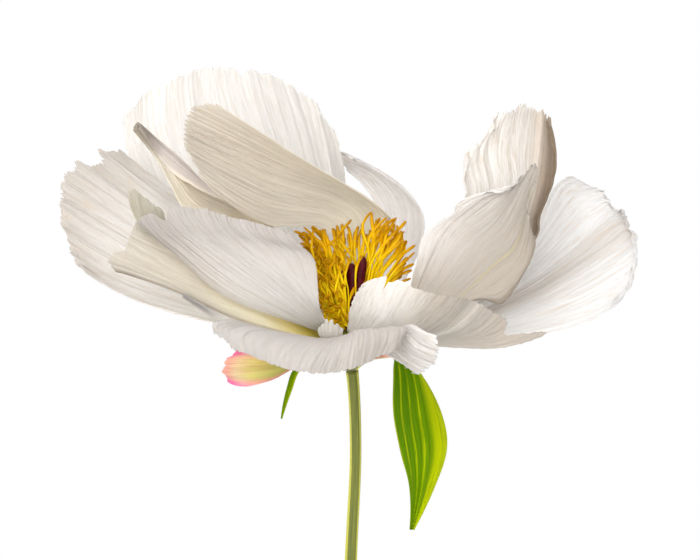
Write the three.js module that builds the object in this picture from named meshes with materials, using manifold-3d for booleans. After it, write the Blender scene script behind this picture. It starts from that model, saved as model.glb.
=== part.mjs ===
// One open white peony standing in a bud vase. Lengths are millimetres and +Z is up.
// The origin is the middle of the vase's flat foot. The bloom faces the viewer along -Y.
import * as THREE from "three";
import { mergeVertices } from "three/addons/utils/BufferGeometryUtils.js";
import Module from "manifold-3d";

const wasm = await Module();
wasm.setup();

const GAP = 0.3; // clearance left where two pieces touch
const BLADE = 0.8; // thickness of petals, sepals and leaf
const BLOOM_Z = 214; // height of the middle of the receptacle above the table
const VASE_HEIGHT = 140;
const VASE_FLOOR = 6;
const WATER_LEVEL = 80;
const STEM_RADIUS = 2.1;
const STEM_TOP_RADIUS = 2.3;
const FILAMENTS = 76;

// Materials

const paint = (color, roughness) => new THREE.MeshStandardMaterial({ color, roughness, metalness: 0 });
const petalWhite = paint(0xece6db, 0.6);
const sepalPink = paint(0xe6b9b4, 0.6);
const leafGreen = paint(0x5f9418, 0.5);
const stemGreen = paint(0x7d8440, 0.55);
const stamenGold = paint(0xe2a90c, 0.6);
const carpelCrimson = paint(0x5a0a18, 0.45);
const vaseGlaze = paint(0xf1efea, 0.2);
const waterClear = paint(0xc9dbe0, 0.05);

// Shared geometry

const group = new THREE.Group();

function vec(x, y, z) {
  return new THREE.Vector3(x, y, z);
}

function mix(terms) {
  const sum = vec(0, 0, 0);
  for (const [weight, point] of terms) {
    sum.addScaledVector(point, weight);
  }
  return sum;
}

// Catmull-Rom spline through evenly spaced stations, with parabolic ends; t counts stations.
function along(stations, t) {
  const last = stations.length - 1;
  const i = Math.min(Math.floor(t), last - 1);
  const f = t - i;
  const beyond = (a, b, c) => mix([[3, a], [-3, b], [1, c]]);
  const p1 = stations[i];
  const p2 = stations[i + 1];
  const p0 = i > 0 ? stations[i - 1] : beyond(p1, p2, stations[2]);
  const p3 = i + 2 <= last ? stations[i + 2] : beyond(p2, p1, stations[last - 2]);
  return mix([
    [(-f + 2 * f ** 2 - f ** 3) / 2, p0],
    [1 - (5 * f ** 2) / 2 + (3 * f ** 3) / 2, p1],
    [(f + 4 * f ** 2 - 3 * f ** 3) / 2, p2],
    [(f ** 3 - f ** 2) / 2, p3],
  ]);
}

// Point of a row at v, which runs from -1 at the clockwise margin to 1 at the other one.
function across(row, v) {
  return along(row, ((v + 1) / 2) * (row.length - 1));
}

// The short row of points where a blade grows from the receptacle.
function clawRow([turn, radius, height, halfWidth], count) {
  const angle = THREE.MathUtils.degToRad(turn);
  const out = vec(Math.cos(angle), Math.sin(angle), 0);
  const side = vec(-Math.sin(angle), Math.cos(angle), 0);
  const row = [];
  for (let k = 0; k < count; k += 1) {
    const v = (2 * k) / (count - 1) - 1;
    row.push(mix([[radius, out], [halfWidth * v, side], [height, vec(0, 0, 1)]]));
  }
  return row;
}

// Middle surface of a blade: u runs from claw to tip, v across it.
function bladePoint(blade, u, v) {
  const { corner = 0, power = 2, notches = [] } = blade;
  let reach = u * (1 - corner * Math.abs(v) ** power);
  for (const [at, depth, spread] of notches) {
    reach -= depth * Math.exp(-(((v - at) / spread) ** 2)) * u ** 6;
  }
  const stations = blade.grid.map((row) => across(row, v));
  return along(stations, reach * (stations.length - 1));
}

function bladeNormal(blade, u, v) {
  const step = 0.01;
  const rise = bladePoint(blade, Math.min(u + step, 1), v).sub(bladePoint(blade, Math.max(u - step, 0), v));
  const run = bladePoint(blade, u, Math.min(v + step, 1)).sub(bladePoint(blade, u, Math.max(v - step, -1)));
  return rise.cross(run).normalize();
}

// Ruffles lift the blade along its normal, more and more towards the tip and the two margins.
function ruffle(blade, u, v) {
  const [size, waves, phase] = blade.ruffle ?? [0, 0, 0];
  return size * u ** 3 * (0.4 + 0.6 * v * v) * Math.sin(waves * Math.PI * v + phase);
}

// Closed mesh from rows of vertex numbers: quads between rings, both ends covered.
function geometryFrom(positions, triangles) {
  const geometry = new THREE.BufferGeometry();
  geometry.setAttribute("position", new THREE.Float32BufferAttribute(positions.flatMap((p) => p.toArray()), 3));
  geometry.setIndex(triangles.flat());
  return geometry;
}

function bladeGeometry(blade) {
  const [alongCount, acrossCount] = blade.cells ?? [9, 12];
  const faces = [[], []];
  for (let i = 0; i <= alongCount; i += 1) {
    for (let j = 0; j <= acrossCount; j += 1) {
      const u = i / alongCount;
      const v = (2 * j) / acrossCount - 1;
      const normal = bladeNormal(blade, u, v);
      const middle = bladePoint(blade, u, v).addScaledVector(normal, ruffle(blade, u, v));
      faces[0].push(middle.clone().addScaledVector(normal, BLADE / 2));
      faces[1].push(middle.clone().addScaledVector(normal, -BLADE / 2));
    }
  }
  const under = faces[0].length;
  const at = (i, j) => i * (acrossCount + 1) + j;
  const triangles = [];
  for (let i = 0; i < alongCount; i += 1) {
    for (let j = 0; j < acrossCount; j += 1) {
      const [a, b, c, d] = [at(i, j), at(i + 1, j), at(i + 1, j + 1), at(i, j + 1)];
      triangles.push([a, b, c], [a, c, d]);
      triangles.push([a + under, c + under, b + under], [a + under, d + under, c + under]);
    }
  }
  const rim = [];
  for (let j = 0; j < acrossCount; j += 1) rim.push(at(0, j));
  for (let i = 0; i < alongCount; i += 1) rim.push(at(i, acrossCount));
  for (let j = acrossCount; j > 0; j -= 1) rim.push(at(alongCount, j));
  for (let i = alongCount; i > 0; i -= 1) rim.push(at(i, 0));
  rim.forEach((a, k) => {
    const b = rim[(k + 1) % rim.length];
    triangles.push([a, b, b + under], [a, b + under, a + under]);
  });
  return geometryFrom(faces.flat(), triangles);
}

// A round strand through points, with one radius for each point and flat ends.
function strandGeometry(points, radii, sides) {
  const positions = [];
  points.forEach((point, i) => {
    const before = points[Math.max(i - 1, 0)];
    const after = points[Math.min(i + 1, points.length - 1)];
    const heading = after.clone().sub(before).normalize();
    const side = vec(1, 0, 0).addScaledVector(heading, -heading.x).normalize();
    const other = heading.clone().cross(side);
    for (let k = 0; k < sides; k += 1) {
      const angle = (2 * Math.PI * k) / sides;
      positions.push(mix([[1, point], [radii[i] * Math.cos(angle), side], [radii[i] * Math.sin(angle), other]]));
    }
  });
  const triangles = [];
  const lastRing = (points.length - 1) * sides;
  for (let ring = 0; ring < lastRing; ring += sides) {
    for (let k = 0; k < sides; k += 1) {
      const next = (k + 1) % sides;
      triangles.push([ring + k, ring + next, ring + sides + next], [ring + k, ring + sides + next, ring + sides + k]);
    }
  }
  for (let k = 1; k < sides - 1; k += 1) {
    triangles.push([0, k + 1, k], [lastRing, lastRing + k, lastRing + k + 1]);
  }
  return geometryFrom(positions, triangles);
}

// A turned body from a profile of [radius, height] pairs that starts and ends on the axis.
function turnedGeometry(profile, sides) {
  const turned = new THREE.LatheGeometry(profile.map(([r, z]) => new THREE.Vector2(r, z)), sides);
  turned.rotateX(Math.PI / 2);
  turned.deleteAttribute("uv");
  turned.deleteAttribute("normal");
  const merged = mergeVertices(turned, 1e-4);
  const index = merged.index.array;
  const kept = [];
  for (let k = 0; k < index.length; k += 3) {
    const [a, b, c] = [index[k], index[k + 1], index[k + 2]];
    if (a !== b && b !== c && c !== a) kept.push(a, b, c);
  }
  merged.setIndex(kept);
  return merged;
}

function manifoldOf(geometry) {
  const vertProperties = new Float32Array(geometry.attributes.position.array);
  const triVerts = new Uint32Array(geometry.index.array);
  const solid = new wasm.Manifold(new wasm.Mesh({ numProp: 3, vertProperties, triVerts }));
  if (solid.volume() > 0) return solid;
  for (let k = 0; k < triVerts.length; k += 3) {
    [triVerts[k], triVerts[k + 1]] = [triVerts[k + 1], triVerts[k]];
  }
  return new wasm.Manifold(new wasm.Mesh({ numProp: 3, vertProperties, triVerts }));
}

// Joins solids into one body; pockets closed in between them are filled.
function fuse(solids) {
  const pieces = wasm.Manifold.union(solids).decompose();
  return pieces.reduce((largest, piece) => (piece.volume() > largest.volume() ? piece : largest));
}

// Adds a solid to the assembly under its own name, with its faces turned outwards.
function add(name, solid, material, height) {
  const { numProp, vertProperties, triVerts } = solid.getMesh();
  const geometry = new THREE.BufferGeometry();
  const positions = [];
  for (let k = 0; k < vertProperties.length; k += numProp) {
    positions.push(vertProperties[k], vertProperties[k + 1], vertProperties[k + 2] + height);
  }
  geometry.setAttribute("position", new THREE.Float32BufferAttribute(positions, 3));
  geometry.setIndex(Array.from(triVerts));
  geometry.computeVertexNormals();
  const mesh = new THREE.Mesh(geometry, material);
  mesh.name = name;
  group.add(mesh);
}

function addBlade(name, material, blade) {
  const rows = blade.rows.map((row) => row.map(([x, y, z]) => vec(x, y, z)));
  const placed = { ...blade, grid: [clawRow(blade.claw, rows[0].length), ...rows] };
  add(name, manifoldOf(bladeGeometry(placed)), material, BLOOM_Z);
}

// Seeded random numbers between 0 and 1
let seed = 20260;
function random() {
  seed = (seed * 1103515245 + 12345) % 2147483648;
  return seed / 2147483648;
}

// Petals. A claw is [degrees round the bloom, radius, height, half width]. Each row has three or
// five points from the clockwise margin, seen from above, to the other one, measured from the
// receptacle. corner and power round the tip off, notches are [place across, depth, spread] and
// ruffle is [height, waves across, phase].

addBlade("petal_back_tall", petalWhite, {
  claw: [112, 6.2, -3.4, 2],
  corner: 0.13,
  power: 3,
  notches: [[-0.02, 0.04, 0.04]],
  ruffle: [0.9, 4, 0.5],
  rows: [
    [[2, 19, 8], [-6, 29, 7], [-23, 24, 6]],
    [[0, 38, 27], [-18, 52, 26], [-51, 37, 23]],
    [[-2, 41, 46], [-28, 60, 53], [-66, 47, 48]],
    [[-6, 41, 63], [-33, 60, 72], [-64, 47, 69]],
  ],
});

addBlade("petal_back_right", petalWhite, {
  claw: [77, 5.6, -1.4, 1.6],
  corner: 0.06,
  power: 4,
  cells: [9, 8],
  rows: [
    [[11, 15, 7], [9, 23, 7], [6, 24, 6]],
    [[20, 30, 21], [17, 40, 23], [10, 44, 19]],
    [[19, 36, 34], [14, 46, 37], [7, 50, 33]],
    [[-4, 44, 49], [-4, 48, 47], [-4, 51, 44]],
  ],
});

addBlade("petal_right_upper", petalWhite, {
  claw: [38, 5.6, -1.6, 1.7],
  notches: [[0.78, 0.075, 0.13]],
  ruffle: [1.1, 4, 0.3],
  rows: [
    [[20, 12, 4], [20.5, 16, 4], [19, 20, 5.5], [17, 22, 6], [15, 22, 6]],
    [[51, 25, 22], [47, 36, 21], [40, 44, 21], [33, 46, 20.5], [27, 44, 20]],
    [[55, 28, 31.5], [53, 38, 33], [48, 46, 35.5], [40.5, 45, 34.5], [33, 38, 34.5]],
    [[59.5, 30, 43.5], [55, 42, 46.5], [47.5, 48, 48.5], [38.5, 44, 47.5], [32.5, 36, 40.5]],
    [[58, 32, 56.5], [55.5, 38, 61], [49, 42, 62], [41.5, 42, 56.5], [33.5, 36, 44.5]],
  ],
});

addBlade("petal_right_fan", petalWhite, {
  claw: [6, 6.2, -3.4, 1.8],
  corner: 0.14,
  power: 3,
  ruffle: [0.9, 4, 1.2],
  rows: [
    [[25, -9, 0.5], [25, 6, -1], [22, 16, 2]],
    [[54, -14, 3], [55, 20, 9], [50, 40, 20]],
    [[71.5, -8, 8.5], [77.5, 24, 22.5], [61.5, 50, 38]],
    [[75.5, 2, 15.5], [80, 22, 27.5], [71, 44, 37.5]],
  ],
});

addBlade("petal_front_right", petalWhite, {
  claw: [332, 5.7, -0.9, 1.5],
  rows: [
    [[-0.4, -6.5, 2.4], [3, -9.5, 2.2], [5.2, -11, 1.4], [7, -11.5, 0.6], [8.4, -11, -0.1], [9.8, -10, -0.6], [11.4, -7.5, -0.6]],
    [[-0.5, -10, 6.5], [4.8, -16, 6], [9, -19, 4.4], [12.6, -20, 2.9], [15.5, -20.5, 1.8], [18.5, -18.5, 0.8], [20, -14.5, 0.4]],
    [[0, -15, 11], [7, -22, 10.5], [13, -25, 8], [18.3, -26.5, 6], [23.2, -28, 5.2], [27.5, -25.5, 4], [31, -21, 0.6]],
    [[1.6, -20, 15.5], [9.2, -26, 15.8], [16.6, -29, 12.6], [23.8, -30.5, 10.5], [29.5, -32.5, 8.8], [35.5, -30, 6], [43, -25, 1.6]],
    [[3.4, -23, 18.6], [11.3, -28.5, 21.2], [20.2, -31.5, 17.7], [29, -33, 15.3], [34.9, -34, 13.3], [41.6, -33, 9.5], [54.2, -22, 5]],
  ],
});

addBlade("petal_front", petalWhite, {
  claw: [264, 6.4, -3.2, 2],
  ruffle: [0.6, 5, 0],
  rows: [
    [[-12, -15.5, 1.2], [-8, -20, 2.4], [-3, -22, 3.4], [1.1, -21, 4.7], [6.8, -20.5, 4.6]],
    [[-32, -38, 11], [-23, -47, 8.9], [-8, -52, 5.9], [3, -49, 8.8], [14.9, -41, 9.2]],
    [[-36, -43, 8], [-26, -55, 4], [-12, -66, 1.5], [1.5, -62, 2], [12.6, -50, 6.5]],
  ],
});

addBlade("petal_front_flap", petalWhite, {
  claw: [289, 6.2, -4.6, 1.1],
  corner: 0.06,
  power: 3,
  cells: [9, 8],
  ruffle: [0.7, 3, 0.8],
  rows: [
    [[4, -18, 0.6], [6.5, -18, 1], [8.5, -16, 0.4]],
    [[9.3, -38, 1.6], [13.1, -38, 5.9], [15.5, -36, 9.4]],
    [[13.7, -48, 0.4], [17, -51, 4.8], [19, -46, 9.9]],
    [[18.3, -55, -1.8], [22.6, -57, 3.5], [23.4, -50, 7.8]],
  ],
});

addBlade("petal_front_left", petalWhite, {
  claw: [228, 5.8, -1.8, 1.9],
  rows: [
    [[-18, -2, 11], [-18.5, -6, 7.5], [-17.5, -10, 4.7], [-15.7, -13, 3.4], [-13.5, -14, 2.5]],
    [[-33.5, -6, 24], [-35.5, -15, 19], [-35, -21, 14.7], [-33.5, -26, 12], [-31, -27, 9.5]],
    [[-48.5, -8, 32], [-52, -18, 28], [-52.5, -28, 23.5], [-49.5, -34, 20.5], [-45.5, -36, 18]],
    [[-58, -10, 35], [-60, -17, 32], [-61, -25, 28.5], [-65, -32, 27], [-62.5, -36, 23.5]],
  ],
});

addBlade("petal_left", petalWhite, {
  claw: [168, 6.3, -2.8, 2],
  notches: [[-0.66, 0.05, 0.1]],
  ruffle: [1.2, 5, 0.4],
  rows: [
    [[-16.5, 10, 9.5], [-17.5, 8, 6], [-18.5, 4, 4], [-18.5, 0, 2], [-17, -4, 0.5]],
    [[-32, 22, 25.5], [-39, 17, 20], [-41, 10, 14], [-39.5, 2, 8.5], [-35.5, -6, 4.3]],
    [[-51, 32, 37.5], [-58.5, 27, 32.5], [-63.5, 19, 25.5], [-63, 8, 16], [-57.5, -2, 9.5]],
    [[-67, 38, 49.5], [-80, 35, 47], [-84, 26, 37], [-80.5, 15, 25], [-74.5, 5, 17]],
  ],
});

addBlade("petal_inner_right", petalWhite, {
  claw: [10, 4.7, 0.6, 1.8],
  ruffle: [0.7, 3, 0.2],
  rows: [
    [[21, -7, 7.5], [19.5, -4, 5.7], [17.7, -1, 5.2], [15.7, 2, 6.2], [14.7, 8, 7.3]],
    [[35.5, -5, 11.5], [32.5, 2, 11.3], [27.7, 8, 12.4], [23.4, 14, 17.3], [19, 18, 19]],
    [[42.7, -4, 10.5], [41.2, 6, 17], [38, 14, 22.5], [30.4, 20, 27.5], [21.2, 22, 26.6]],
    [[50, 0, 20.4], [48, 8, 23.3], [45, 15, 30], [40, 20, 35.3], [31, 20, 36.4]],
    [[52.4, 6, 27.5], [50.3, 10, 36.4], [52.8, 12, 48], [48.3, 15, 43], [43.5, 16, 39]],
  ],
});

addBlade("petal_inner_back", petalWhite, {
  claw: [84, 4.7, 0.6, 1.8],
  corner: 0.05,
  power: 4,
  rows: [
    [[8, 14, 13], [5, 18, 13], [1, 16, 13]],
    [[13, 20, 30], [4, 26, 33], [-7, 20, 28]],
    [[-17, 8, 52], [-22, 22, 45], [-25, 12, 31]],
    [[-42, 2, 68.5], [-47, 10, 58], [-44, 4, 47]],
  ],
});

addBlade("petal_inner_back_left", petalWhite, {
  claw: [142, 4.9, 0.6, 1.8],
  rows: [
    [[-11, 10, 17.5], [-11, 14, 17], [-14, 12, 15.5], [-15, 7, 13], [-13, 2, 10]],
    [[-29, 18, 33], [-28.5, 23, 34], [-31.5, 22, 32], [-34, 17, 30], [-34.5, 8, 27.5]],
    [[-42, 18, 39.5], [-40, 24, 39.6], [-42.5, 23, 38], [-44.5, 17, 36], [-46, 8, 34.5]],
    [[-51, 18.5, 45], [-47.5, 25, 46.8], [-48.5, 24, 45], [-50, 18.5, 43], [-51, 12, 42]],
    [[-55, 20.5, 49], [-54, 25, 52.2], [-54.7, 24.5, 51], [-55.5, 21.5, 50], [-55.5, 18, 49]],
    [[-60.5, 21.5, 57.5], [-61, 24, 58.5], [-61.5, 23, 58], [-61.5, 21, 57.5], [-61.5, 19, 56.5]],
  ],
});

addBlade("petal_inner_left", petalWhite, {
  claw: [206, 4.8, 0.8, 1.9],
  notches: [[-0.75, 0.04, 0.05]],
  rows: [
    [[-16.5, -12.5, 6.5], [-14, -12.5, 8.5], [-11.5, -12.5, 9.5], [-9.5, -12.5, 10], [-8, -12, 9]],
    [[-34, -24, 16], [-27.5, -25, 20], [-21, -23, 21], [-15, -19, 20], [-9, -14.5, 17]],
    [[-50.5, -26, 29.5], [-42.5, -29, 31.5], [-32, -27, 30.5], [-20.5, -21, 28], [-9.5, -16, 24.5]],
    [[-59, -20, 38], [-49.5, -28, 36], [-38, -28, 36], [-26, -22.5, 32.5], [-13, -17, 28.5]],
    [[-60, -12, 43.5], [-50.5, -25, 40], [-39, -26, 39.5], [-27, -21.5, 35.5], [-16.5, -18, 32.5]],
  ],
});

addBlade("petaloid_lobe", petalWhite, {
  claw: [254, 4.8, 0.8, 1.3],
  corner: 0.1,
  power: 2,
  cells: [5, 8],
  rows: [
    [[-8.8, -12.5, 2.2], [-5.6, -13.5, 1.8], [-2, -12.5, 2]],
    [[-9.5, -12.5, 5], [-6.5, -14, 7.4], [-1.8, -12.5, 5.2]],
  ],
});

// Calyx: three sepals under the petals, a narrow bract and one leafy bract that hangs down

addBlade("sepal_left", sepalPink, {
  claw: [194, 6, -5.6, 1.6],
  corner: 0.12,
  power: 3,
  cells: [8, 8],
  rows: [
    [[-14, -4, -3.4], [-14, -8, -4.8], [-14, -8, -6.6]],
    [[-20, -6, -2.8], [-21, -13, -6.8], [-22, -8, -10.6]],
    [[-29, -7, -2], [-31, -15, -7], [-29, -8, -12.4]],
    [[-33, -8, -3.4], [-35, -11, -7], [-33.5, -8, -11]],
  ],
});

addBlade("sepal_right", sepalPink, {
  claw: [340, 6, -5.6, 1.6],
  corner: 0.14,
  power: 3,
  cells: [6, 6],
  rows: [
    [[9, -4.5, -4.3], [10, -1.5, -5], [10, 2, -4.8]],
    [[14, -6, -3.4], [16, 0, -4.4], [14, 6, -4.2]],
  ],
});

addBlade("sepal_back", sepalPink, {
  claw: [95, 6, -5.6, 1.7],
  corner: 0.14,
  power: 3,
  cells: [6, 6],
  rows: [
    [[4.5, 12, -5.4], [-1, 13, -6], [-6, 12, -5.4]],
    [[6, 20, -2], [-1, 22, -3.6], [-9, 20, -2]],
  ],
});

addBlade("bract_narrow", leafGreen, {
  claw: [228, 6, -5.6, 0.9],
  cells: [10, 4],
  rows: [
    [[-10, -8, -5.2], [-9.8, -9.2, -5.2], [-8.8, -10, -5.2]],
    [[-15.4, -10.2, -7], [-14.6, -10.8, -7.1], [-13.8, -10.8, -7.4]],
    [[-17.6, -11.6, -12.7], [-17, -12.1, -13], [-16.3, -11.9, -13.3]],
    [[-19.4, -12, -20], [-18.9, -12.2, -20.2], [-18.4, -12, -20.4]],
  ],
});

addBlade("leaf", leafGreen, {
  claw: [311, 6, -5.6, 1],
  cells: [16, 8],
  ruffle: [0.4, 3, 0],
  rows: [
    [[11.5, -10, -2.6], [12.5, -10.8, -2.2], [14, -9.6, -2.6]],
    [[12, -11, -8], [16.5, -14, -6.5], [20.5, -11, -9.5]],
    [[12, -12, -19], [18.5, -16, -18], [25.5, -11, -19.5]],
    [[14, -13, -30], [20, -16, -29.5], [27, -11, -29.5]],
    [[16.5, -13, -40], [19.5, -15, -40], [23.5, -12, -40.5]],
    [[16.6, -13, -52], [17.2, -13.3, -52], [17.8, -13, -52]],
  ],
});

// Receptacle: the green knob that the claws grow round

add("receptacle", manifoldOf(turnedGeometry([
  [0, -9],
  [2.5, -9],
  [4.7, -7.4],
  [5.6, -6.2],
  [5.7, -5],
  [5.9, -4.1],
  [5.9, -2.6],
  [5.3, -2],
  [5.2, -0.6],
  [4.4, 0],
  [4.3, 1.4],
  [3.9, 2.1],
  [3.4, 2.4],
  [0, 2.4],
], 24)), stemGreen, BLOOM_Z);

// Carpels: four crimson flasks on a small base in the middle of the bloom

const CARPEL_FOOT = 2.4 + GAP;
const carpelTips = [[3, 0.2, 23], [0.6, -1.1, 19.5], [-2, 0.2, 19], [0.5, 1.4, 21]];
const carpelRadii = [0.8, 1.2, 1.5, 1.5, 1.1, 0.5];
const carpelParts = carpelTips.map(([x, y, z]) => {
  const points = carpelRadii.map((radius, k) => {
    const rise = k / (carpelRadii.length - 1);
    return vec(x * (0.2 + 0.8 * rise), y * (0.2 + 0.8 * rise), CARPEL_FOOT + 0.4 + (z - CARPEL_FOOT - 0.4) * rise);
  });
  return manifoldOf(strandGeometry(points, carpelRadii, 7));
});
const carpelBase = manifoldOf(turnedGeometry([
  [0, CARPEL_FOOT],
  [2, CARPEL_FOOT],
  [2, CARPEL_FOOT + 1.2],
  [0, CARPEL_FOOT + 1.6],
], 16));
add("carpels", fuse([carpelBase, ...carpelParts]), carpelCrimson, BLOOM_Z);

// Stamens: a golden ring of twisted filaments, each with a flat anther along its top third.
// The ring spreads less towards the front and the back, where inner petals stand close.

const RING_FOOT = 2.4 + GAP;
const GOLDEN_ANGLE = Math.PI * (3 - Math.sqrt(5));
const stamenRing = manifoldOf(turnedGeometry([
  [2.6, RING_FOOT],
  [4, RING_FOOT],
  [4.1, RING_FOOT + 1.4],
  [3.4, RING_FOOT + 2.2],
  [2.6, RING_FOOT + 1.6],
  [2.6, RING_FOOT],
], 20));
const filaments = [];
for (let i = 0; i < FILAMENTS; i += 1) {
  const turn = i * GOLDEN_ANGLE;
  const rank = Math.sqrt((i + 0.5) / FILAMENTS);
  const lean = 0.35 + 0.65 * rank * (0.85 + 0.3 * random());
  const height = 34 - 15 * lean ** 4 + 4 * (random() - 0.5);
  const reach = vec(4.5 + 13 * lean, 5 + 5.5 * lean, 0);
  const tip = vec(reach.x * Math.cos(turn), reach.y * Math.sin(turn), height);
  const rootRadius = 2.9 + rank;
  const root = vec(rootRadius * Math.cos(turn), rootRadius * Math.sin(turn), RING_FOOT + 0.8);
  const sway = vec(random() - 0.5, random() - 0.5, 0).multiplyScalar(2);
  const points = [0, 0.35, 0.68, 0.86, 1].map((t) => {
    const bow = Math.sin(Math.PI * t);
    const spread = t ** 1.4;
    return vec(
      root.x + (tip.x - root.x) * spread + sway.x * bow,
      root.y + (tip.y - root.y) * spread + sway.y * bow,
      root.z + (tip.z - root.z) * t,
    );
  });
  filaments.push(manifoldOf(strandGeometry(points, [0.36, 0.36, 0.36, 0.8, 0.3], 3)));
}
add("stamens", fuse([stamenRing, ...filaments]), stamenGold, BLOOM_Z);

// Stem: it stands on the floor of the vase, leans on the back of the neck and straightens up

const stemStations = [
  vec(-2, -14, VASE_FLOOR + 0.6),
  vec(-1.6, -8.5, 40),
  vec(-1, -2.6, 76),
  vec(-0.4, 2.7, 112),
  vec(0.3, 4.2, 148),
  vec(1.6, 1.8, 180),
  vec(0.6, 0, BLOOM_Z - 9.5),
];
const STEM_RINGS = 15;
const stemPoints = [];
const stemRadii = [];
for (let k = 0; k <= STEM_RINGS; k += 1) {
  const t = k / STEM_RINGS;
  stemPoints.push(along(stemStations, t * (stemStations.length - 1)));
  stemRadii.push(STEM_RADIUS - 0.5 * Math.sin(Math.PI * Math.max(t - 0.5, 0)) + (STEM_TOP_RADIUS - STEM_RADIUS) * t ** 8);
}
add("stem", manifoldOf(strandGeometry(stemPoints, stemRadii, 10)), stemGreen, 0);

// Vase: turned bud vase with a round body, a narrow neck and a flared lip

const outerWall = [
  [25, 0], [27, 1.2], [31, 12], [33.6, 28], [33.6, 42], [30.5, 58], [24, 73], [16.5, 86], [11.6, 98],
  [9.6, 110], [9.2, 122], [10.6, 132], [14.2, 139.2],
];
const innerWall = [
  [13.8, VASE_HEIGHT], [12.8, 139.8], [7.6, 132], [6.1, 122], [6.4, 110], [8.4, 98], [13.3, 86], [20.8, 73],
  [27.3, 58], [30.4, 42], [30.4, 28], [27.8, 14], [23, VASE_FLOOR + 1], [20, VASE_FLOOR],
];
add("vase", manifoldOf(turnedGeometry([[0, 0], ...outerWall, ...innerWall, [0, VASE_FLOOR]], 36)), vaseGlaze, 0);

// Water: fills the vase up to the shoulder, with a plain hole where the stem stands

const waterProfile = [
  [0, VASE_FLOOR + GAP],
  [19.7, VASE_FLOOR + GAP],
  [22.5, VASE_FLOOR + 1.2],
  [27.4, 14.2],
  [30.1, 28],
  [30.1, 42],
  [27, 57.8],
  [20.5, 72.8],
  [16.4, WATER_LEVEL],
  [0, WATER_LEVEL],
];
const below = stemPoints.filter((point) => point.z < WATER_LEVEL + 20);
const drill = [mix([[1.5, below[0]], [-0.5, below[1]]]), ...below];
const hole = manifoldOf(strandGeometry(drill, drill.map(() => STEM_RADIUS + GAP), 12));
add("water", manifoldOf(turnedGeometry(waterProfile, 36)).subtract(hole), waterClear, 0);

export default group;
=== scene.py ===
import math
import bpy
import numpy as np
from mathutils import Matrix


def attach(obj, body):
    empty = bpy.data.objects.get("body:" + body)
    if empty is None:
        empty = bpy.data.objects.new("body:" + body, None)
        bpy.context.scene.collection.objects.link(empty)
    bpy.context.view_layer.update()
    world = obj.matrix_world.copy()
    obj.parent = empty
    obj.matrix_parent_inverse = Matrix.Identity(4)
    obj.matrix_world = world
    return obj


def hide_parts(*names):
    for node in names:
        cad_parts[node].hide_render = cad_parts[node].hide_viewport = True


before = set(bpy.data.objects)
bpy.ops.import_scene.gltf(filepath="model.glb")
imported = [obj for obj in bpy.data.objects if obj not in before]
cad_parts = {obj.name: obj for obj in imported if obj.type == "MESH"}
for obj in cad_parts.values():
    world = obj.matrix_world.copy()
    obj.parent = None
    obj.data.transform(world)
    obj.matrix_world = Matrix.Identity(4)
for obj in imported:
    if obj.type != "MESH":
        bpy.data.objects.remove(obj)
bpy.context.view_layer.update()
MM = 0.001


# ----------------------------------------------------------------------------
# Camera: a long lens at the height of the bloom, looking down on it by eight degrees. One pixel
# of the 700-pixel frame covers 0.28 mm at the stem, and the receptacle sits left of the centre.
TILT = math.radians(8)
DISTANCE = 0.8
FRAME_WIDTH = 0.196
SENSOR = 36.0
AIM = (0.0, 0.0, 0.2304)

camera_data = bpy.data.cameras.new("camera")
camera_data.sensor_width = SENSOR
camera_data.lens = SENSOR * DISTANCE / FRAME_WIDTH
camera_data.clip_start = 0.02
camera = bpy.data.objects.new("camera", camera_data)
camera.location = (AIM[0], AIM[1] - DISTANCE * math.cos(TILT), AIM[2] + DISTANCE * math.sin(TILT))
camera.rotation_euler = (math.pi / 2 - TILT, 0, 0)
bpy.context.collection.objects.link(camera)
bpy.context.scene.camera = camera
bpy.context.scene.view_settings.view_transform = "Standard"


# ----------------------------------------------------------------------------
# Studio: a white surround that is brightest behind and above the flower, so that light comes
# through the petals, a soft lamp high at the back left, and a larger one in front.
def feed(tree, slot, value):
    """Sets an input from a number or a colour, or links it to another node's output."""
    if isinstance(value, bpy.types.NodeSocket):
        tree.links.new(value, slot)
    else:
        slot.default_value = value


def add_node(tree, kind, **values):
    """Adds a shader node and feeds its inputs, named with _ for a space."""
    made = tree.nodes.new(kind)
    for name, value in values.items():
        feed(tree, made.inputs[name.replace("_", " ")], value)
    return made


def maths(tree, operation, first, second=0.0):
    """The result of one Math node; each operand is a number or an output."""
    made = tree.nodes.new("ShaderNodeMath")
    made.operation = operation
    feed(tree, made.inputs[0], first)
    feed(tree, made.inputs[1], second)
    return made.outputs[0]


def blended(tree, share, first, second):
    """Two shaders in one: share is how much of the second shows."""
    made = tree.nodes.new("ShaderNodeMixShader")
    for slot, value in zip(made.inputs, (share, first.outputs[0], second.outputs[0])):
        feed(tree, slot, value)
    return made.outputs[0]


world = bpy.data.worlds.new("studio")
world.use_nodes = True
bpy.context.scene.world = world
sky = world.node_tree
sky.nodes.clear()
heading = add_node(
    sky, "ShaderNodeSeparateXYZ", Vector=sky.nodes.new("ShaderNodeTexCoord").outputs["Generated"],
).outputs
from_back = maths(sky, "MULTIPLY", heading["Y"], 0.3)
from_above = maths(sky, "MULTIPLY", heading["Z"], 0.15)
from_left = maths(sky, "MULTIPLY", heading["X"], -0.1)
strength = maths(sky, "ADD", maths(sky, "ADD", from_back, from_above), maths(sky, "ADD", from_left, 1.2))
light = add_node(sky, "ShaderNodeBackground", Strength=strength, Color=(1.0, 0.995, 0.985, 1))
plain = add_node(sky, "ShaderNodeBackground", Strength=1.0, Color=(1, 1, 1, 1))
seen = sky.nodes.new("ShaderNodeLightPath").outputs["Is Camera Ray"]
add_node(sky, "ShaderNodeOutputWorld", Surface=blended(sky, seen, light, plain))


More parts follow.
